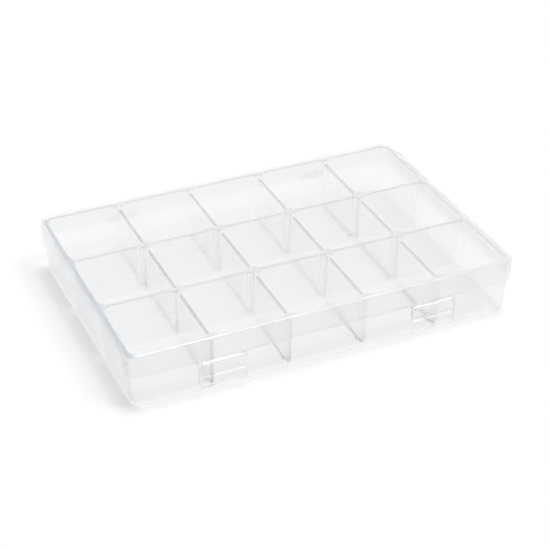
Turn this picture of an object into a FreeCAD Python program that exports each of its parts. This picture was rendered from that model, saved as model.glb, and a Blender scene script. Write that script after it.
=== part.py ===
import FreeCAD, Part
import math
import os

import Sketcher
from FreeCAD import Vector

# A clear plastic storage box: a shallow tray of fifteen compartments under a hinged lid.
# Millimetres. +X runs along the long side, -Y is the front with the latches, +Z is up.
# The origin is the middle of the flat underside.

COLUMNS = 5
ROWS = ("front", "middle", "back")
SIDES = (("left", -1), ("right", 1))
GRIP_RIDGES = 3
NEAR = 0.01

SIZES = (
    # the lid, measured over its lower edge
    ("lid_length", 275.0),
    ("lid_width", 180.0),
    ("box_height", 43.0),
    ("lid_height", 16.0),
    ("lid_corner", 9.0),
    ("lid_edge_round", 2.6),
    ("lid_top", 1.8),
    ("lid_skirt", 2.0),
    ("lid_inner_round", 0.8),
    ("lid_draft", 1.5),
    ("gate_diameter", 2.6),
    ("gate_depth", 0.3),
    # the tray's rim inside the lid
    ("rim_gap", 0.5),
    ("rim_headroom", 0.3),
    # the tray
    ("tray_wall", 1.8),
    ("tray_floor", 1.8),
    ("tray_draft", 3.0),
    ("tray_bottom_round", 4.0),
    ("long_wall", 1.8),
    ("post_gap", 2.4),
    ("pocket_corner", 6.0),
    ("pocket_floor_round", 4.5),
    ("pocket_draft", 1.5),
    ("post_reach", 3.2),
    ("rib_height", 3.0),
    ("groove_floor", 1.0),
    ("groove_inset", 0.8),
    # the lift-out cross dividers
    ("divider_thickness", 2.0),
    ("divider_play", 0.15),
    ("divider_drop", 2.0),
    ("divider_corner", 3.0),
    ("divider_edge_round", 0.6),
    # the hinge behind the box
    ("hinge_offset", 75.0),
    ("hinge_setback", 2.4),
    ("hinge_drop", 2.0),
    ("hinge_barrel", 4.4),
    ("hinge_pin", 2.0),
    ("hinge_knuckle", 6.0),
    ("hinge_web_top", 0.6),
    ("hinge_web_rise", 4.0),
    ("side_gap", 0.3),
    ("pin_play", 0.05),
    ("pin_chamfer", 0.25),
    # the two latches under the lid's front edge
    ("latch_offset", 75.0),
    ("latch_width", 32.0),
    ("latch_reach", 17.5),
    ("latch_thickness", 2.2),
    ("latch_barrel", 3.2),
    ("latch_barrel_proud", 0.2),
    ("latch_pin", 1.5),
    ("latch_top_gap", 0.3),
    ("latch_lug", 2.2),
    ("lug_rise", 2.2),
    ("latch_corner", 3.0),
    ("latch_edge_round", 0.7),
    ("lip_height", 5.0),
    ("lip_proud", 1.4),
    ("grip_length", 20.0),
    ("grip_height", 1.2),
    ("grip_round", 0.5),
    ("grip_proud", 0.4),
    ("grip_pitch", 2.6),
    ("grip_depth", 3.6),
    # the snap: a hook on the latch under a ridge on the tray
    ("ridge_depth", 9.6),
    ("ridge_face", 0.6),
    ("ridge_slope", 2.6),
    ("ridge_gap", 0.5),
    ("ridge_length", 24.0),
    ("hook_gap", 0.4),
    ("hook_height", 2.0),
    ("hook_overlap", 0.5),
)

DERIVED = (
    ("lid_edge", "Sizes.box_height - Sizes.lid_height"),
    ("rim_top", "Sizes.box_height - Sizes.lid_top - Sizes.rim_headroom"),
    ("rim_height", "rim_top - lid_edge"),
    ("waist_inset", "Sizes.lid_skirt + Sizes.rim_gap"),
    ("waist_length", "Sizes.lid_length - 2 * waist_inset"),
    ("waist_width", "Sizes.lid_width - 2 * waist_inset"),
    ("waist_corner", "Sizes.lid_corner - waist_inset"),
    ("rim_inset", "rim_height * tan(Sizes.lid_draft) + Sizes.tray_wall"),
    ("inside_length", "waist_length - 2 * rim_inset"),
    ("inside_width", "waist_width - 2 * rim_inset"),
    ("pocket_length", "(inside_length - %d * Sizes.post_gap) / %d" % (COLUMNS - 1, COLUMNS)),
    ("pocket_width", "(inside_width - %d * Sizes.long_wall) / %d" % (len(ROWS) - 1, len(ROWS))),
    ("column_pitch", "pocket_length + Sizes.post_gap"),
    ("row_pitch", "pocket_width + Sizes.long_wall"),
    ("groove_bottom", "Sizes.tray_floor + Sizes.groove_floor"),
    ("groove_length", "pocket_width - 2 * Sizes.groove_inset"),
    ("groove_width", "Sizes.divider_thickness + 2 * Sizes.divider_play"),
    ("divider_length", "groove_length - 2 * Sizes.divider_play"),
    ("divider_top", "rim_top - Sizes.divider_drop"),
    ("hinge_y", "Sizes.lid_width / 2 + Sizes.hinge_setback"),
    ("hinge_z", "lid_edge - Sizes.hinge_drop"),
    ("hinge_step", "Sizes.hinge_knuckle + Sizes.side_gap"),
    ("hinge_pin_length", "2 * hinge_step + Sizes.hinge_knuckle"),
    ("latch_y", "-(Sizes.lid_width / 2 - Sizes.lid_skirt + Sizes.latch_barrel / 2)"),
    ("latch_drop", "Sizes.latch_barrel / 2 + Sizes.latch_top_gap"),
    ("latch_z", "lid_edge - latch_drop"),
    ("lug_step", "(Sizes.latch_width - Sizes.latch_lug) / 2"),
    ("barrel_length", "Sizes.latch_width - 2 * (Sizes.latch_lug + Sizes.side_gap)"),
    ("flap_outer", "-(Sizes.latch_barrel / 2 - Sizes.latch_barrel_proud)"),
    ("flap_inner", "flap_outer + Sizes.latch_thickness"),
    ("ridge_tip", "flap_inner + Sizes.ridge_gap"),
    ("hook_tip", "ridge_tip + Sizes.hook_overlap"),
    ("hook_top", "-(Sizes.ridge_depth + Sizes.hook_gap)"),
)

doc = FreeCAD.newDocument("StorageBox")


def fill_sheet(name, rows, lead):
    """Write named values into a new sheet, one row each."""
    sheet = doc.addObject("Spreadsheet::Sheet", name)
    for number, (alias, value) in enumerate(rows, 1):
        sheet.set("A%d" % number, alias)
        sheet.set("B%d" % number, lead + str(value))
        sheet.setAlias("B%d" % number, alias)
    doc.recompute()
    return sheet


sizes = fill_sheet("Sizes", SIZES, "")
derived = fill_sheet("Derived", DERIVED, "=")


def value_of(formula):
    """The present value of a formula on the sheets."""
    return float(derived.evalExpression(formula))


def new_body(name, x="0", y="0", z="0"):
    """An empty sub-part whose own origin stands at x, y, z."""
    body = doc.addObject("PartDesign::Body", name)
    body.Label = name
    for axis, formula in zip("xyz", (x, y, z)):
        body.setExpression("Placement.Base." + axis, formula)
    return body


def origin_plane(body, role):
    """One of the body's own base planes."""
    return next(item for item in body.Origin.OriginFeatures if item.Role == role)


def new_sketch(body, name, role, offset="0"):
    """A sketch on a base plane of the body, moved along the plane's normal."""
    sketch = body.newObject("Sketcher::SketchObject", name)
    sketch.AttachmentSupport = [(origin_plane(body, role), "")]
    sketch.MapMode = "FlatFace"
    sketch.setExpression("AttachmentOffset.Base.z", offset)
    return sketch


def hold(sketch, constraints):
    """Add sketch constraints; one that ends in a formula keeps its value bound to it."""
    formulas = [entry[-1] if isinstance(entry[-1], str) else None for entry in constraints]
    made = [Sketcher.Constraint(*entry[:-1], value_of(formula)) if formula else Sketcher.Constraint(*entry)
            for entry, formula in zip(constraints, formulas)]
    for number, formula in zip(sketch.addConstraint(made), formulas):
        if formula:
            sketch.setExpression("Constraints[%d]" % number, formula)


def held_point(geometry, point, x, y):
    """Constraints that hold a sketch point at x, y from the sketch's origin."""
    return [("DistanceX", -1, 1, geometry, point, x), ("DistanceY", -1, 1, geometry, point, y)]


def draw_polygon(sketch, corners):
    """A closed line through corners, each a pair of formulas."""
    points = [Vector(value_of(x), value_of(y), 0) for x, y in corners]
    first = sketch.GeometryCount
    ends = points[1:] + points[:1]
    sketch.addGeometry([Part.LineSegment(start, end) for start, end in zip(points, ends)])
    constraints = []
    for step, (x, y) in enumerate(corners):
        following = first + (step + 1) % len(corners)
        constraints.append(("Coincident", first + step, 2, following, 1))
        constraints += held_point(first + step, 1, x, y)
    hold(sketch, constraints)


def draw_rectangle(sketch, x, y, length, width):
    """A rectangle about the point x, y."""
    left, right = "%s - (%s) / 2" % (x, length), "%s + (%s) / 2" % (x, length)
    front, back = "%s - (%s) / 2" % (y, width), "%s + (%s) / 2" % (y, width)
    draw_polygon(sketch, ((left, front), (right, front), (right, back), (left, back)))


def draw_circle(sketch, x, y, diameter):
    """A circle about the point x, y."""
    centre = Vector(value_of(x), value_of(y), 0)
    number = sketch.addGeometry(Part.Circle(centre, Vector(0, 0, 1), value_of(diameter) / 2))
    hold(sketch, [("Diameter", number, diameter)] + held_point(number, 3, x, y))


def draw_rounded(sketch, x, y, length, width, radius):
    """A rectangle with round corners about the point x, y."""
    reach, depth = "((%s) / 2 - (%s))" % (length, radius), "((%s) / 2 - (%s))" % (width, radius)
    right, left = "%s + %s" % (x, reach), "%s - %s" % (x, reach)
    back, front = "%s + %s" % (y, depth), "%s - %s" % (y, depth)
    arcs = []
    for turn, corner in enumerate(((right, front), (right, back), (left, back), (left, front))):
        centre = Vector(value_of(corner[0]), value_of(corner[1]), 0)
        circle = Part.Circle(centre, Vector(0, 0, 1), value_of(radius))
        arcs.append(Part.ArcOfCircle(circle, math.radians(90 * turn - 90), math.radians(90 * turn)))
    first = sketch.GeometryCount
    for arc, following in zip(arcs, arcs[1:] + arcs[:1]):
        sketch.addGeometry([arc, Part.LineSegment(arc.EndPoint, following.StartPoint)])
    constraints = [("Radius", first, radius)]
    for turn, direction in enumerate(("Vertical", "Horizontal", "Vertical", "Horizontal")):
        arc, line, following = first + 2 * turn, first + 2 * turn + 1, first + (2 * turn + 2) % 8
        constraints += [("Tangent", arc, 2, line, 1), ("Tangent", line, 2, following, 1), (direction, line)]
    constraints += [("Equal", first, first + 2 * turn) for turn in (1, 2, 3)]
    hold(sketch, constraints + held_point(first, 3, right, front) + held_point(first + 4, 3, left, back))


def add_prism(body, kind, name, sketch, length, draft="0", both_ways=False, backwards=False):
    """Pad or pocket a sketch, and make sure that it adds or takes away material."""
    before = body.Shape.Volume if body.Tip else 0.0
    feature = body.newObject("PartDesign::" + kind, name)
    feature.Profile = sketch
    feature.SideType = "Symmetric" if both_ways else "One side"
    feature.Reversed = backwards
    feature.setExpression("Length", length)
    feature.setExpression("TaperAngle", draft)
    doc.recompute()
    gained = body.Shape.Volume - before
    if (gained > 0) != (kind == "Pad"):
        raise RuntimeError("%s of %s changes nothing" % (name, body.Label))
    return feature


def add_edge_feature(body, kind, name, size, keep):
    """Fillet or chamfer the edges of the body whose bounding box passes the test."""
    base = body.Tip
    edges = enumerate(base.Shape.Edges, 1)
    names = ["Edge%d" % number for number, edge in edges if keep(edge.BoundBox)]
    feature = body.newObject("PartDesign::" + kind, name)
    feature.Base = (base, names)
    feature.setExpression("Radius" if kind == "Fillet" else "Size", size)
    doc.recompute()
    return feature


def mirror(body, name, features):
    """Repeat features on the other side of the plane x = 0."""
    mirrored = body.newObject("PartDesign::Mirrored", name)
    mirrored.Originals = features
    mirrored.MirrorPlane = (origin_plane(body, "YZ_Plane"), [""])
    body.Tip = mirrored
    doc.recompute()


def at_height(formula):
    """A test for edges that lie flat at one height."""
    height = value_of(formula)
    return lambda box: abs(box.ZMin - height) < NEAR and abs(box.ZMax - height) < NEAR


def centred(index, count, pitch):
    """The place of one of several equal steps laid out about zero, as a formula."""
    return "%g * %s" % (index - (count - 1) / 2, pitch)


def divider_places():
    """Row name, number, x and y of every cross divider."""
    for row, row_name in enumerate(ROWS):
        for gap in range(COLUMNS - 1):
            x = centred(gap, COLUMNS - 1, "Derived.column_pitch")
            yield row_name, gap + 1, x, centred(row, len(ROWS), "Derived.row_pitch")


def add_tray_walls(body):
    """The outer shell: one outline at the lid's edge, drawn in above and below it."""
    waist = new_sketch(body, "waist", "XY_Plane", "Derived.lid_edge")
    draw_rounded(waist, "0", "0", "Derived.waist_length", "Derived.waist_width", "Derived.waist_corner")
    add_prism(body, "Pad", "lower_wall", waist, "Derived.lid_edge", "-Sizes.tray_draft", backwards=True)
    add_prism(body, "Pad", "rim", waist, "Derived.rim_height", "-Sizes.lid_draft")
    add_edge_feature(body, "Fillet", "bottom_round", "Sizes.tray_bottom_round", at_height("0"))


def add_compartments(body):
    """Fifteen rounded pockets; the walls left between their rows are the long walls."""
    sketch = new_sketch(body, "pockets", "XY_Plane", "Derived.rim_top")
    for column in range(COLUMNS):
        for row in range(len(ROWS)):
            draw_rounded(sketch, centred(column, COLUMNS, "Derived.column_pitch"),
                         centred(row, len(ROWS), "Derived.row_pitch"),
                         "Derived.pocket_length", "Derived.pocket_width", "Sizes.pocket_corner")
    add_prism(body, "Pocket", "compartments", sketch, "Derived.rim_top - Sizes.tray_floor",
              "-Sizes.pocket_draft")
    add_edge_feature(body, "Fillet", "floor_round", "Sizes.pocket_floor_round",
                     at_height("Sizes.tray_floor"))


def add_divider_seats(body):
    """Open the cross walls down to a floor rib, then cut a groove along posts and rib."""
    clearing = new_sketch(body, "clearing", "XY_Plane", "Derived.rim_top")
    grooves = new_sketch(body, "grooves", "XY_Plane", "Derived.rim_top")
    for _, _, x, y in divider_places():
        draw_rectangle(clearing, x, y, "Sizes.post_gap + Sizes.pocket_corner",
                       "Derived.pocket_width - 2 * Sizes.post_reach")
        draw_rectangle(grooves, x, y, "Derived.groove_width", "Derived.groove_length")
    add_prism(body, "Pocket", "cross_openings", clearing,
              "Derived.rim_top - Sizes.tray_floor - Sizes.rib_height")
    add_prism(body, "Pocket", "divider_grooves", grooves, "Derived.rim_top - Derived.groove_bottom")


def add_tray_hinges(body):
    """Two knuckles for each of the two hinges, on webs out of the back wall."""
    root = "Derived.waist_width / 2 - Sizes.tray_wall / 2"
    low, high = "Derived.hinge_z - Sizes.hinge_barrel / 2", "Derived.hinge_z + Sizes.hinge_web_top"
    features = []
    for side, sign in SIDES:
        place = "Sizes.hinge_offset + %d * Derived.hinge_step" % sign
        web = new_sketch(body, "hinge_web_" + side, "YZ_Plane", place)
        draw_polygon(web, ((root, low), ("Derived.hinge_y", low), ("Derived.hinge_y", high), (root, high)))
        barrel = new_sketch(body, "hinge_barrel_" + side, "YZ_Plane", place)
        draw_circle(barrel, "Derived.hinge_y", "Derived.hinge_z", "Sizes.hinge_barrel")
        for name, sketch in (("web", web), ("barrel", barrel)):
            features.append(add_prism(body, "Pad", "hinge_%s_pad" % name, sketch, "Sizes.hinge_knuckle",
                                      both_ways=True))
    hole = new_sketch(body, "hinge_hole", "YZ_Plane", "Sizes.hinge_offset")
    draw_circle(hole, "Derived.hinge_y", "Derived.hinge_z", "Sizes.hinge_pin + 2 * Sizes.pin_play")
    features.append(add_prism(body, "Pocket", "hinge_bore", hole, "Derived.hinge_pin_length + Sizes.side_gap",
                              both_ways=True))
    mirror(body, "hinges", features)


def add_catch_ridges(body):
    """A sloped ridge on the front wall that each latch hooks under."""
    root = "-(Derived.waist_width / 2 - Sizes.tray_wall)"
    tip = "Derived.latch_y + Derived.ridge_tip"
    under = "Derived.latch_z - Sizes.ridge_depth"
    ridge = new_sketch(body, "ridge", "YZ_Plane", "Sizes.latch_offset")
    draw_polygon(ridge, ((root, under), (tip, under), (tip, under + " + Sizes.ridge_face"),
                         (root, under + " + Sizes.ridge_face + Sizes.ridge_slope")))
    pad = add_prism(body, "Pad", "catch_ridge", ridge, "Sizes.ridge_length", both_ways=True)
    mirror(body, "catch_ridges", [pad])


def make_tray():
    """The one-piece base: walls, pockets, divider seats, hinge knuckles and catches."""
    body = new_body("tray")
    add_tray_walls(body)
    add_tray_hinges(body)
    add_catch_ridges(body)
    add_compartments(body)
    add_divider_seats(body)
    return body


def add_lid_shell(body):
    """A shallow cap with round edges; its own zero height is the skirt's lower edge."""
    outside = new_sketch(body, "lid_outside", "XY_Plane")
    draw_rounded(outside, "0", "0", "Sizes.lid_length", "Sizes.lid_width", "Sizes.lid_corner")
    add_prism(body, "Pad", "lid_block", outside, "Sizes.lid_height", "-Sizes.lid_draft")
    add_edge_feature(body, "Fillet", "lid_round", "Sizes.lid_edge_round", at_height("Sizes.lid_height"))
    inside = new_sketch(body, "lid_inside", "XY_Plane")
    draw_rounded(inside, "0", "0", "Sizes.lid_length - 2 * Sizes.lid_skirt",
                 "Sizes.lid_width - 2 * Sizes.lid_skirt", "Sizes.lid_corner - Sizes.lid_skirt")
    add_prism(body, "Pocket", "lid_hollow", inside, "Sizes.lid_height - Sizes.lid_top",
              "-Sizes.lid_draft", backwards=True)
    add_edge_feature(body, "Fillet", "lid_inner_round", "Sizes.lid_inner_round",
                     at_height("Sizes.lid_height - Sizes.lid_top"))
    gate = new_sketch(body, "gate", "XY_Plane", "Sizes.lid_height")
    draw_circle(gate, "0", "0", "Sizes.gate_diameter")
    add_prism(body, "Pocket", "gate_mark", gate, "Sizes.gate_depth")


def add_lid_hinges(body):
    """One knuckle for each hinge, on a web out of the back of the skirt."""
    root, drop = "Sizes.lid_width / 2 - Sizes.lid_skirt / 2", "-Sizes.hinge_drop"
    crown = "-Sizes.hinge_drop + Sizes.hinge_barrel / 2"
    web = new_sketch(body, "lid_hinge_web", "YZ_Plane", "Sizes.hinge_offset")
    draw_polygon(web, ((root, "0"), ("Derived.hinge_y - Sizes.hinge_barrel / 2", drop),
                       ("Derived.hinge_y", drop), ("Derived.hinge_y", crown), (root, "Sizes.hinge_web_rise")))
    barrel = new_sketch(body, "lid_hinge_barrel", "YZ_Plane", "Sizes.hinge_offset")
    draw_circle(barrel, "Derived.hinge_y", drop, "Sizes.hinge_barrel")
    hole = new_sketch(body, "lid_hinge_hole", "YZ_Plane", "Sizes.hinge_offset")
    draw_circle(hole, "Derived.hinge_y", drop, "Sizes.hinge_pin + 2 * Sizes.pin_play")
    width, past = "Sizes.hinge_knuckle", "Sizes.hinge_knuckle + Sizes.side_gap"
    mirror(body, "lid_hinges", [
        add_prism(body, "Pad", "lid_hinge_web_pad", web, width, both_ways=True),
        add_prism(body, "Pad", "lid_hinge_barrel_pad", barrel, width, both_ways=True),
        add_prism(body, "Pocket", "lid_hinge_bore", hole, past, both_ways=True)])


def add_latch_lugs(body):
    """Two round-ended lugs under the skirt's front edge for each latch."""
    drop, half = "-Derived.latch_drop", "Sizes.latch_barrel / 2"
    web_line = (("Derived.latch_y + " + half, drop), ("Derived.latch_y + " + half, "Sizes.lid_skirt / 2"),
                ("-(Sizes.lid_width - Sizes.lid_skirt) / 2", "Sizes.lug_rise"),
                ("Derived.latch_y - " + half, drop))
    features = []
    for side, sign in SIDES:
        place = "Sizes.latch_offset + %d * Derived.lug_step" % sign
        web = new_sketch(body, "lug_web_" + side, "YZ_Plane", place)
        draw_polygon(web, web_line)
        end = new_sketch(body, "lug_end_" + side, "YZ_Plane", place)
        draw_circle(end, "Derived.latch_y", drop, "Sizes.latch_barrel")
        for name, sketch in (("web", web), ("end", end)):
            features.append(add_prism(body, "Pad", "lug_%s_pad" % name, sketch, "Sizes.latch_lug",
                                      both_ways=True))
    hole = new_sketch(body, "lug_hole", "YZ_Plane", "Sizes.latch_offset")
    draw_circle(hole, "Derived.latch_y", drop, "Sizes.latch_pin + 2 * Sizes.pin_play")
    features.append(add_prism(body, "Pocket", "lug_bore", hole, "Sizes.latch_width + Sizes.side_gap",
                              both_ways=True))
    mirror(body, "lugs", features)


def make_lid():
    """The hinged cover."""
    body = new_body("lid", z="Derived.lid_edge")
    add_lid_shell(body)
    add_lid_hinges(body)
    add_latch_lugs(body)
    return body


def make_latch(side, sign):
    """A flap that hangs from its barrel; its own origin is on the pivot line."""
    body = new_body("latch_" + side, "%d * Sizes.latch_offset" % sign, "Derived.latch_y", "Derived.latch_z")
    outer, inner = "Derived.flap_outer", "Derived.flap_inner"
    neck, bottom = "-(Sizes.latch_barrel / 2 + Sizes.side_gap)", "-Sizes.latch_reach"
    bend, hook_top = "Sizes.lip_height - Sizes.latch_reach", "Derived.hook_top"
    flap = new_sketch(body, "flap_" + side, "YZ_Plane")
    draw_polygon(flap, (
        (outer, neck), (outer, bend), (outer + " - Sizes.lip_proud", bottom),
        (inner + " - Sizes.lip_proud", bottom), (inner, bend), (inner, hook_top + " - Sizes.hook_height"),
        ("Derived.hook_tip", hook_top + " - Sizes.hook_height / 2"), ("Derived.hook_tip", hook_top),
        (inner, hook_top), (inner, neck)))
    add_prism(body, "Pad", "flap_plate", flap, "Sizes.latch_width", both_ways=True)
    low = value_of(bottom)
    add_edge_feature(body, "Fillet", "flap_corners", "Sizes.latch_corner",
                     lambda box: box.ZMax < low + NEAR and box.XLength < NEAR)
    face = value_of(outer)
    rim = value_of(neck)
    add_edge_feature(body, "Fillet", "flap_edges", "Sizes.latch_edge_round",
                     lambda box: box.YMax < face + NEAR and box.ZMin < rim - NEAR
                     and not (box.ZLength < NEAR and box.ZMax > low + NEAR))
    throat = new_sketch(body, "neck_" + side, "YZ_Plane")
    draw_polygon(throat, ((outer, "0"), (outer, neck), (inner, neck), (inner, "0")))
    add_prism(body, "Pad", "neck_plate", throat, "Derived.barrel_length", both_ways=True)
    barrel = new_sketch(body, "barrel_" + side, "YZ_Plane")
    draw_circle(barrel, "0", "0", "Sizes.latch_barrel")
    add_prism(body, "Pad", "barrel_rod", barrel, "Derived.barrel_length", both_ways=True)
    bore = new_sketch(body, "bore_" + side, "YZ_Plane")
    draw_circle(bore, "0", "0", "Sizes.latch_pin + 2 * Sizes.pin_play")
    add_prism(body, "Pocket", "barrel_bore", bore, "Sizes.latch_width", both_ways=True)
    grip = new_sketch(body, "grip_" + side, "XZ_Plane", "-Derived.flap_outer")
    for ridge in range(GRIP_RIDGES):
        draw_rounded(grip, "0", "-Sizes.grip_depth - %d * Sizes.grip_pitch" % ridge, "Sizes.grip_length",
                     "Sizes.grip_height", "Sizes.grip_round")
    add_prism(body, "Pad", "grip_ridges", grip, "Sizes.grip_proud")
    return body


def make_pin(name, x, y, z, diameter, length):
    """A plain pin along X with chamfered ends."""
    body = new_body(name, x, y, z)
    circle = new_sketch(body, name + "_circle", "YZ_Plane")
    draw_circle(circle, "0", "0", diameter)
    add_prism(body, "Pad", name + "_rod", circle, length, both_ways=True)
    add_edge_feature(body, "Chamfer", name + "_ends", "Sizes.pin_chamfer", lambda box: box.XLength < NEAR)
    return body


def make_divider(row_name, number, x, y):
    """A plate that drops into the grooves of its row and stands on the floor of the groove."""
    name = "divider_%s_%d" % (row_name, number)
    body = new_body(name, x, y)
    half, bottom, top = "Derived.divider_length / 2", "Derived.groove_bottom", "Derived.divider_top"
    outline = new_sketch(body, name + "_outline", "YZ_Plane")
    draw_polygon(outline, (("-" + half, bottom), (half, bottom), (half, top), ("-" + half, top)))
    add_prism(body, "Pad", name + "_plate", outline, "Sizes.divider_thickness", both_ways=True)
    low, high = value_of(bottom), value_of(top)
    add_edge_feature(body, "Fillet", name + "_corners", "Sizes.divider_corner",
                     lambda box: box.ZMax < low + NEAR and box.YLength < NEAR)
    add_edge_feature(body, "Fillet", name + "_top", "Sizes.divider_edge_round",
                     lambda box: box.ZMin > high - NEAR and box.XLength < NEAR)
    return body


def make_all():
    """Every sub-part of the box."""
    pieces = [make_tray(), make_lid()]
    for side, sign in SIDES:
        latch_x, hinge_x = "%d * Sizes.latch_offset" % sign, "%d * Sizes.hinge_offset" % sign
        pieces.append(make_latch(side, sign))
        pieces.append(make_pin("latch_pin_" + side, latch_x, "Derived.latch_y", "Derived.latch_z",
                               "Sizes.latch_pin", "Sizes.latch_width"))
        pieces.append(make_pin("hinge_pin_" + side, hinge_x, "Derived.hinge_y", "Derived.hinge_z",
                               "Sizes.hinge_pin", "Derived.hinge_pin_length"))
    for place in divider_places():
        pieces.append(make_divider(*place))
    return pieces


def write_all(pieces):
    """Check the whole document, then write one file for each sub-part."""
    doc.recompute()
    for item in doc.Objects:
        if "Invalid" in item.State or "Error" in item.State:
            raise RuntimeError("%s failed: %s" % (item.Label, item.State))
    for piece in pieces:
        shape = piece.Shape
        if shape.isNull() or not shape.isValid() or len(shape.Solids) != 1:
            raise RuntimeError("%s is not one valid solid" % piece.Label)
    os.makedirs("parts", exist_ok=True)
    for piece in pieces:
        piece.Shape.exportStep("parts/%s.step" % piece.Label)
        box = piece.Shape.BoundBox
        print("%-18s %9.1f mm3  x %.2f %.2f  y %.2f %.2f  z %.2f %.2f" % (
            piece.Label, piece.Shape.Volume, box.XMin, box.XMax, box.YMin, box.YMax, box.ZMin, box.ZMax))


write_all(make_all())
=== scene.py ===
"""A clear compartment box with a hinged lid, two latch flaps and divider plates, on a pale studio floor."""
import math
from collections import namedtuple

import bpy
from mathutils import Matrix, Vector


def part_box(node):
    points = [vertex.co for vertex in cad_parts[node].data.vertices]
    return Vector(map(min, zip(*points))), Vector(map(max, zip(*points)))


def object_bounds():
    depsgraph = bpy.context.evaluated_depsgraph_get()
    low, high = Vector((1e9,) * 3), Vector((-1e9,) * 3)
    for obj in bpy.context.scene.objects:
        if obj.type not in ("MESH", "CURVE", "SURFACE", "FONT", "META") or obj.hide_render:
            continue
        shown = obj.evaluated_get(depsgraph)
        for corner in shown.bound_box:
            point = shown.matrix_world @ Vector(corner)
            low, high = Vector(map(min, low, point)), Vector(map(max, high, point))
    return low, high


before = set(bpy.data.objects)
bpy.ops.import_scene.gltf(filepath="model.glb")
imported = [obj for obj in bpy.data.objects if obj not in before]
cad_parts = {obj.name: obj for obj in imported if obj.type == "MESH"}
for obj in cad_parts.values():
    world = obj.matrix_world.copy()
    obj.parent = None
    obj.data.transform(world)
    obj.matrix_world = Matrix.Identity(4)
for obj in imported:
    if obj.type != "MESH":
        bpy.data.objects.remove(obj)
cad_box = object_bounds()
low, high = cad_box

WHITE = (1.0, 1.0, 1.0)

# Camera. The angles, the distance and the aim were fitted to the photograph's outline of lid and base.
IMAGE_PIXELS = 550
SENSOR = 36.0
FOCAL_PIXELS = 1455.0
CAMERA_TURN = math.radians(25.25)
CAMERA_DIP = math.radians(33.7)
CAMERA_ROLL = math.radians(-0.85)
CAMERA_DISTANCE = 0.945
NEAR_CLIP = 0.01
AIM_LEFT = 0.0178
AIM_FRONT = 0.0423

# Floor and sky
FLOOR_SIZE = 6.0
FLOOR_GAP = 0.0002
FLOOR_SHADE = 0.40
FLOOR_GLOW = 0.62
SKY_LIGHT = 0.12
LIGHT_BOUNCES = 128

# A dim blue card behind the box, to the left. It fades in between two cosines of the angle to its middle.
CARD_SHADE = (0.62, 0.70, 0.80)
CARD_SIDE = (-0.55, 0.76, 0.35)
CARD_EDGE = 0.80
CARD_FULL = 0.97

# Lamps. A side points from the box to the lamp, and a spread is the angle that the lamp fills.
KEY_SIDE = (0.12, -0.04, 1.0)
KEY_SPREAD = math.radians(14.0)
KEY_STRENGTH = 1.88
EDGE_SIDE = (0.355, -0.38, 0.86)
EDGE_SPREAD = math.radians(18.0)
EDGE_STRENGTH = 1.0

# What all clear plastic shares: haze, coat, flow marks, the waves of the mould and the passing light
HAZE = 0.01
COAT_ROUGHNESS = 0.28
FLOW_SCALE = 22.0
FLOW_DETAIL = 3.0
FLOW_SPREAD = 0.12
FLOW_LIFT = 0.02
WAVE_SCALE = 70.0
WAVE_DETAIL = 2.0
WAVE_STRENGTH = 0.02
WAVE_HEIGHT = 0.001
REAL_BEND = 1.5
LIGHT_PASSED = (0.999, 0.999, 0.999)

# Colours that are left of the light that passes a wall at a grazing angle
SKIRT_SHADE = (0.22, 0.24, 0.27)
WALL_SHADE = (0.965, 0.967, 0.97)
PLATE_SHADE = (0.965, 0.968, 0.972)

# Finishes. Bend is the refraction, lower than the real one, and stopped is the shade at a grazing angle.
Finish = namedtuple("Finish", "tint gloss bend coat stopped")
TRAY = Finish(tint=(0.958, 0.959, 0.961), gloss=0.22, bend=1.07, coat=0.0, stopped=WALL_SHADE)
LID = Finish(tint=(0.975, 0.976, 0.978), gloss=0.25, bend=1.09, coat=0.8, stopped=SKIRT_SHADE)
PLATE = Finish(tint=(0.999, 0.999, 1.0), gloss=0.25, bend=1.05, coat=0.0, stopped=PLATE_SHADE)
LATCH = Finish(tint=(0.993, 0.994, 0.996), gloss=0.28, bend=1.13, coat=0.8, stopped=PLATE_SHADE)
PIN = Finish(tint=(0.98, 0.985, 0.99), gloss=0.05, bend=1.4, coat=0.0, stopped=PLATE_SHADE)

# Softer gloss of the lid's rim and of the tray's outer walls
RIM_GLOSS = 0.29
RIM_WIDTH = 0.007

# Painted lines along the tops of plates and walls. They are painted shade and a painted highlight that
# stand in for the refraction and reflection at those edges: their tints, and how far they reach down or in.
# The span and the middle of the plates' lines are shares of a plate's length.
# Painted shade: a blue-grey line on the plates' tops, in place of the dark refraction and the reflected
# blue card at those edges.
PAINTED_PLATE_LINE = (0.58, 0.62, 0.69)
PAINTED_PLATE_LINE_DEPTH = 0.0011
PAINTED_PLATE_LINE_SPAN = 0.88
PLATE_MIDDLE = 0.5
# Painted shade: a grey line just below the tray's wall tops, in place of refraction at those edges.
PAINTED_WALL_LINE = (0.85, 0.865, 0.885)
PAINTED_WALL_LINE_DEPTH = 0.0012
# Painted highlight: the very top of the tray's walls is frosted white, so it shows as a light line in place
# of the glint of rounded tops.
GLINT_FROST = 0.75
GLINT_FROST_DEPTH = 0.0003
# Painted reflection and shade: a blue line on the top of the tray's left wall only, the side turned to the
# dim card.
PAINTED_LEFT_LINE = (0.74, 0.80, 0.87)
PAINTED_LEFT_LINE_WIDTH = 0.0035
LEFT_WALL_WIDTH = 0.007


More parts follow.
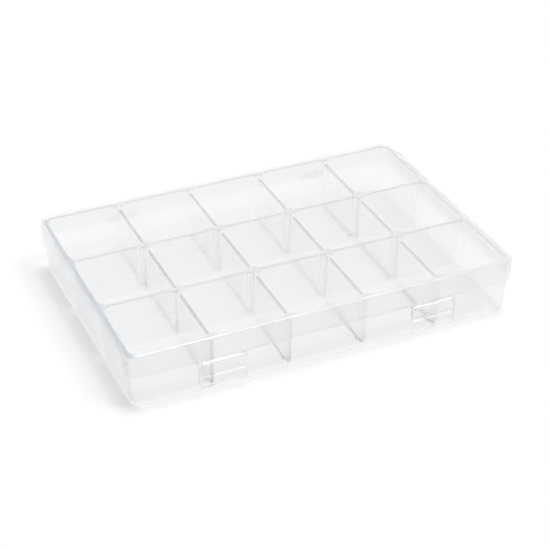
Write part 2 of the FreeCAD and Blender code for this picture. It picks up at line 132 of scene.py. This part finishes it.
class Nodes:
    """Short ways to fill one node tree, which is cleared first."""

    def __init__(self, tree):
        tree.nodes.clear()
        self.tree = tree

    def add(self, kind, **settings):
        """A new node. A setting goes to the input of that name, or else to the node itself."""
        node = self.tree.nodes.new(kind)
        for name, value in settings.items():
            if name in node.inputs:
                node.inputs[name].default_value = value
            else:
                setattr(node, name, value)
        return node

    def put(self, value, target):
        """Links an output to the target input, or sets a plain value on it."""
        if isinstance(value, bpy.types.NodeSocket):
            self.tree.links.new(value, target)
        else:
            target.default_value = value

    def math(self, operation, *values):
        """The result of a Math node on numbers or outputs."""
        node = self.add("ShaderNodeMath", operation=operation)
        for target, value in zip(node.inputs, values):
            self.put(value, target)
        return node.outputs[0]

    def axis(self, coordinates, letter):
        """One of the three parts of a position."""
        node = self.add("ShaderNodeSeparateXYZ")
        self.put(coordinates, node.inputs[0])
        return node.outputs[letter]

    def rescale(self, value, source, target):
        """A value taken from the source range to the target range."""
        node = self.add("ShaderNodeMapRange")
        for name, limit in zip(("From Min", "From Max", "To Min", "To Max"), (*source, *target)):
            self.put(limit, node.inputs[name])
        self.put(value, node.inputs["Value"])
        return node.outputs[0]

    def ramp(self, amount, start, end):
        """A colour that runs from start to end as the amount runs from 0 to 1."""
        node = self.add("ShaderNodeValToRGB")
        for element, colour in zip(node.color_ramp.elements, (start, end)):
            element.color = (*colour, 1.0)
        self.put(amount, node.inputs[0])
        return node.outputs[0]

    def dyed(self, colour, dye):
        """A colour multiplied by another."""
        node = self.add("ShaderNodeVectorMath", operation="MULTIPLY")
        self.put(colour, node.inputs[0])
        self.put(dye, node.inputs[1])
        return node.outputs[0]

    def mix(self, amount, first, second):
        """The first shader where the amount is 0 and the second where it is 1."""
        node = self.add("ShaderNodeMixShader")
        for target, value in zip(node.inputs, (amount, first, second)):
            self.put(value, target)
        return node.outputs[0]


# Camera

def make_camera():
    """A camera at the photograph's angle, aimed at a point on the lid's top."""
    turn, dip, roll = CAMERA_TURN, CAMERA_DIP, CAMERA_ROLL
    forward = Vector((math.sin(turn) * math.cos(dip), math.cos(turn) * math.cos(dip), -math.sin(dip)))
    right = Vector((math.cos(turn), -math.sin(turn), 0.0))
    up = right.cross(forward)
    side = right * math.cos(roll) - up * math.sin(roll)
    top = up * math.cos(roll) + right * math.sin(roll)
    aim = Vector((-AIM_LEFT, -AIM_FRONT, high.z))
    data = bpy.data.cameras.new("photo_camera")
    data.sensor_width = SENSOR
    data.lens = SENSOR * FOCAL_PIXELS / IMAGE_PIXELS
    data.clip_start = NEAR_CLIP
    camera = bpy.data.objects.new("photo_camera", data)
    bpy.context.scene.collection.objects.link(camera)
    turned = Matrix((side, top, -forward)).transposed().to_4x4()
    camera.matrix_world = Matrix.Translation(aim - forward * CAMERA_DISTANCE) @ turned
    bpy.context.scene.camera = camera


# Studio

def seen_straight(nodes):
    """1 for rays from the camera and for rays that gloss or clear plastic sends on, 0 for the rest."""
    path = nodes.add("ShaderNodeLightPath").outputs
    gloss = nodes.math("MAXIMUM", path["Is Camera Ray"], path["Is Glossy Ray"])
    return nodes.math("MAXIMUM", gloss, path["Is Transmission Ray"])


def floor_paper():
    """Pale paper that takes the box's shadow and shows as white where nothing shades it."""
    material = bpy.data.materials.new("studio_floor")
    material.use_nodes = True
    nodes = Nodes(material.node_tree)
    paper = nodes.add("ShaderNodeBsdfDiffuse", Color=(FLOOR_SHADE, FLOOR_SHADE, FLOOR_SHADE, 1.0))
    glow = nodes.add("ShaderNodeEmission", Color=(*WHITE, 1.0))
    nodes.put(nodes.math("MULTIPLY", seen_straight(nodes), FLOOR_GLOW), glow.inputs["Strength"])
    both = nodes.add("ShaderNodeAddShader")
    nodes.put(paper.outputs[0], both.inputs[0])
    nodes.put(glow.outputs[0], both.inputs[1])
    nodes.put(both.outputs[0], nodes.add("ShaderNodeOutputMaterial").inputs["Surface"])
    return material


def make_floor():
    """A wide square floor just below the box."""
    half = FLOOR_SIZE / 2
    corners = [(-half, -half, 0), (half, -half, 0), (half, half, 0), (-half, half, 0)]
    mesh = bpy.data.meshes.new("floor")
    mesh.from_pydata(corners, [], [(0, 1, 2, 3)])
    mesh.materials.append(floor_paper())
    floor = bpy.data.objects.new("floor", mesh)
    floor.location.z = low.z - FLOOR_GAP
    bpy.context.scene.collection.objects.link(floor)


def make_sky():
    """Soft light from all round. The camera, gloss and clear plastic see white, with the dim card in it."""
    world = bpy.data.worlds.new("studio")
    world.use_nodes = True
    bpy.context.scene.world = world
    nodes = Nodes(world.node_tree)
    light = nodes.add("ShaderNodeBackground", Color=(*WHITE, 1.0), Strength=SKY_LIGHT)
    towards = nodes.add("ShaderNodeVectorMath", operation="DOT_PRODUCT")
    nodes.put(nodes.add("ShaderNodeTexCoord").outputs["Generated"], towards.inputs[0])
    nodes.put(Vector(CARD_SIDE).normalized(), towards.inputs[1])
    card = nodes.ramp(towards.outputs["Value"], WHITE, CARD_SHADE)
    stops = card.node.color_ramp
    stops.interpolation = "EASE"
    stops.elements[0].position = CARD_EDGE
    stops.elements[1].position = CARD_FULL
    shown = nodes.add("ShaderNodeBackground", Strength=1.0)
    nodes.put(card, shown.inputs["Color"])
    sky = nodes.mix(seen_straight(nodes), light.outputs[0], shown.outputs[0])
    nodes.put(sky, nodes.add("ShaderNodeOutputWorld").inputs["Surface"])


def make_sun(name, side, spread, strength):
    """A broad far lamp, which lights the whole floor evenly."""
    data = bpy.data.lights.new(name, "SUN")
    data.angle = spread
    data.energy = strength
    lamp = bpy.data.objects.new(name, data)
    bpy.context.scene.collection.objects.link(lamp)
    lamp.rotation_euler = (-Vector(side)).to_track_quat("-Z", "Y").to_euler()


# What the plastics share

def start_plastic(name):
    """A new material, its nodes and its coordinates."""
    material = bpy.data.materials.new(name)
    material.use_nodes = True
    nodes = Nodes(material.node_tree)
    return material, nodes, nodes.add("ShaderNodeTexCoord").outputs


def flow_marks(nodes, place, finish):
    """A tint and a roughness that vary a little, as the plastic flowed in the mould."""
    flow = nodes.add("ShaderNodeTexNoise", Scale=FLOW_SCALE, Detail=FLOW_DETAIL)
    nodes.put(place["Object"], flow.inputs["Vector"])
    lighter = [min(part + FLOW_LIFT, 1.0) for part in finish.tint]
    tint = nodes.ramp(flow.outputs["Fac"], finish.tint, lighter)
    limits = (finish.gloss * (1.0 - FLOW_SPREAD), finish.gloss * (1.0 + FLOW_SPREAD))
    return tint, nodes.rescale(flow.outputs["Fac"], (0.0, 1.0), limits)


def mould_waves(nodes, place):
    """A normal with the slight waves of a moulded surface."""
    wave = nodes.add("ShaderNodeTexNoise", Scale=WAVE_SCALE, Detail=WAVE_DETAIL)
    nodes.put(place["Object"], wave.inputs["Vector"])
    bump = nodes.add("ShaderNodeBump", Strength=WAVE_STRENGTH, Distance=WAVE_HEIGHT)
    nodes.put(wave.outputs["Fac"], bump.inputs["Height"])
    return bump.outputs[0]


def passing_light(nodes, finish):
    """How grazing a ray is, and the colour of the lamp light that passes the plastic at that angle."""
    grazing = nodes.add("ShaderNodeFresnel", IOR=REAL_BEND).outputs[0]
    return grazing, nodes.ramp(grazing, LIGHT_PASSED, finish.stopped)


def near_top(nodes, place, top, depth):
    """1 close below a top edge and 0 further down than the depth."""
    return nodes.rescale(nodes.axis(place["Object"], "Z"), (top - depth, top - depth / 2), (0.0, 1.0))


def rim_of(node):
    """How far the flat middle of a node reaches from its centre along x and y."""
    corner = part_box(node)[0]
    return -corner.x - RIM_WIDTH, -corner.y - RIM_WIDTH


def soft_rim(nodes, place, rough, reach):
    """The given roughness in the flat middle and the softer gloss all round it."""
    within_x = nodes.math("COMPARE", nodes.axis(place["Object"], "X"), 0.0, reach[0])
    within_y = nodes.math("COMPARE", nodes.axis(place["Object"], "Y"), 0.0, reach[1])
    middle = nodes.math("MULTIPLY", within_x, within_y)
    return nodes.rescale(middle, (0.0, 1.0), (RIM_GLOSS, rough))


def join_plastic(nodes, place, finish, tint, rough, passed, clearness=1.0 - HAZE):
    """Joins the plastic that is seen with the clear film that lets the lamp light through to the floor."""
    plastic = nodes.add("ShaderNodeBsdfPrincipled", IOR=finish.bend)
    plastic.inputs["Coat Weight"].default_value = finish.coat
    plastic.inputs["Coat Roughness"].default_value = COAT_ROUGHNESS
    nodes.put(clearness, plastic.inputs["Transmission Weight"])
    nodes.put(tint, plastic.inputs["Base Color"])
    nodes.put(rough, plastic.inputs["Roughness"])
    nodes.put(mould_waves(nodes, place), plastic.inputs["Normal"])
    film = nodes.add("ShaderNodeBsdfTransparent")
    nodes.put(passed, film.inputs["Color"])
    path = nodes.add("ShaderNodeLightPath").outputs
    lamp_light = nodes.math("MAXIMUM", path["Is Shadow Ray"], path["Is Diffuse Ray"])
    surface = nodes.mix(lamp_light, plastic.outputs[0], film.outputs[0])
    nodes.put(surface, nodes.add("ShaderNodeOutputMaterial").inputs["Surface"])


# The plastic of each kind of piece

def tray_plastic():
    """Wall tops are frosted white as a painted highlight, above a band of painted grey shade. The left wall
    has a top of painted blue shade and reflection, and stops more light.
    """
    material, nodes, place = start_plastic("tray_clear")
    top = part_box("tray")[1].z
    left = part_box("tray")[0].x
    tint, rough = flow_marks(nodes, place, TRAY)
    # Painted shade and highlight: a grey line below the wall tops, and a frosted very top that stands in
    # for a glint.
    line = near_top(nodes, place, top, PAINTED_WALL_LINE_DEPTH)
    glint_frost = nodes.math("MULTIPLY", near_top(nodes, place, top, GLINT_FROST_DEPTH), GLINT_FROST)
    grey = nodes.math("MULTIPLY", line, nodes.math("SUBTRACT", 1.0, glint_frost))
    tint = nodes.dyed(tint, nodes.ramp(grey, WHITE, PAINTED_WALL_LINE))
    # Painted blue shade and reflection along the left wall's top only.
    across = nodes.axis(place["Object"], "X")
    blue = nodes.math("MULTIPLY", line, nodes.math("LESS_THAN", across, left + PAINTED_LEFT_LINE_WIDTH))
    tint = nodes.dyed(tint, nodes.ramp(blue, WHITE, PAINTED_LEFT_LINE))
    grazing, passed = passing_light(nodes, TRAY)
    stop = nodes.math("MULTIPLY", grazing, nodes.math("LESS_THAN", across, left + LEFT_WALL_WIDTH))
    passed = nodes.dyed(passed, nodes.ramp(stop, WHITE, SKIRT_SHADE))
    rough = soft_rim(nodes, place, rough, rim_of("tray"))
    # Less clear where the tops are frosted as a painted highlight.
    clearness = nodes.math("SUBTRACT", 1.0 - HAZE, glint_frost)
    join_plastic(nodes, place, TRAY, tint, rough, passed, clearness)
    return material


def lid_plastic():
    """A coated sheet with a softer rim, whose skirt stops much of the grazing light."""
    material, nodes, place = start_plastic("lid_clear")
    tint, rough = flow_marks(nodes, place, LID)
    rough = soft_rim(nodes, place, rough, rim_of("lid"))
    join_plastic(nodes, place, LID, tint, rough, passing_light(nodes, LID)[1])
    return material


def plate_plastic():
    """Clear plates with a blue top line of painted shade and reflection, standing in for refraction, that
    ends short of the posts.
    """
    material, nodes, place = start_plastic("divider_clear")
    tint, rough = flow_marks(nodes, place, PLATE)
    # Painted shade and reflection: a blue line along the plate's top, ending short of the posts.
    line = near_top(nodes, place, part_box("divider_front_1")[1].z, PAINTED_PLATE_LINE_DEPTH)
    free = nodes.math("COMPARE", nodes.axis(place["Generated"], "Y"), PLATE_MIDDLE, PAINTED_PLATE_LINE_SPAN / 2)
    tint = nodes.dyed(tint, nodes.ramp(nodes.math("MULTIPLY", line, free), WHITE, PAINTED_PLATE_LINE))
    join_plastic(nodes, place, PLATE, tint, rough, passing_light(nodes, PLATE)[1])
    return material


def plain_plastic(name, finish):
    """Latches and pins, with flow marks only."""
    material, nodes, place = start_plastic(name)
    tint, rough = flow_marks(nodes, place, finish)
    join_plastic(nodes, place, finish, tint, rough, passing_light(nodes, finish)[1])
    return material


def dress_nodes():
    """Gives every CAD node the plastic that its material slot names."""
    finishes = {
        "tray_plastic": tray_plastic(),
        "lid_plastic": lid_plastic(),
        "divider_plastic": plate_plastic(),
        "latch_plastic": plain_plastic("latch_clear", LATCH),
        "pin_plastic": plain_plastic("pin_clear", PIN),
    }
    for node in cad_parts.values():
        for place, held in enumerate(node.data.materials):
            node.material_slots[place].link = "OBJECT"
            node.material_slots[place].material = finishes[held.name]


scene = bpy.context.scene
scene.view_settings.view_transform = "Standard"
scene.cycles.max_bounces = LIGHT_BOUNCES
scene.cycles.transmission_bounces = LIGHT_BOUNCES
scene.cycles.glossy_bounces = LIGHT_BOUNCES
scene.cycles.transparent_max_bounces = LIGHT_BOUNCES

make_camera()
make_floor()
make_sky()
make_sun("key", KEY_SIDE, KEY_SPREAD, KEY_STRENGTH)
make_sun("edge_light", EDGE_SIDE, EDGE_SPREAD, EDGE_STRENGTH)
dress_nodes()
